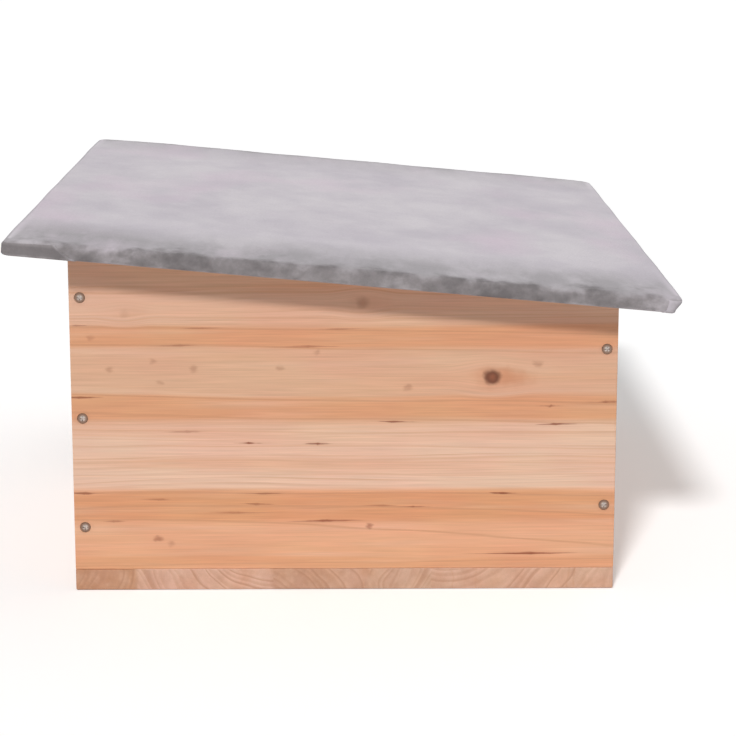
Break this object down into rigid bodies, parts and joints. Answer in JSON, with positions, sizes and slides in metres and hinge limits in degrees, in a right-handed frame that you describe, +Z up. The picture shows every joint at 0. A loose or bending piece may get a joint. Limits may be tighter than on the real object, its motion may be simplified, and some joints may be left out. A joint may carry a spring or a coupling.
{
  "type": "hedgehog house",
  "caption": "Low wooden hedgehog house with a lean-to roof covered in grey felt that lifts on hinges at the back, an arched doorway and a divider that makes a corridor to the nest.",
  "frame": {"origin": "on the ground, under the middle of the box", "axes": "+Z up, the entrance faces -Y, the roof's hinges are at +Y, +X is the width"},
  "size_m": [0.45, 0.3944, 0.2203],
  "materials": {
    "fir": "planed, bare",
    "fir_floor": "planed, bare",
    "grey_felt": "matte felt",
    "zinc_steel": "zinc plated"
  },
  "bodies": {
    "house": {"floor_board": "fir_floor", "right_wall": "fir", "left_wall": "fir", "front_wall": "fir", "back_wall": "fir", "divider": "fir", "right_wall_screws": "zinc_steel", "left_wall_screws": "zinc_steel", "floor_screws": "zinc_steel", "divider_screws": "zinc_steel", "right_hinge_wall_leaf": "zinc_steel", "left_hinge_wall_leaf": "zinc_steel", "right_hinge_pin": "zinc_steel", "left_hinge_pin": "zinc_steel", "hinge_wall_screws": "zinc_steel"},
    "roof": {"roof_board": "fir", "roof_felt": "grey_felt", "right_hinge_roof_leaf": "zinc_steel", "left_hinge_roof_leaf": "zinc_steel", "hinge_roof_screws": "zinc_steel", "felt_staples": "zinc_steel"}
  },
  "joints": [
    {"name": "roof_hinge", "type": "hinge", "parent": "house", "child": "roof", "pos_m": [0, 0.1652, 0.17667], "axis": [-1, 0, 0], "range_deg": [0, 90]}
  ]
}
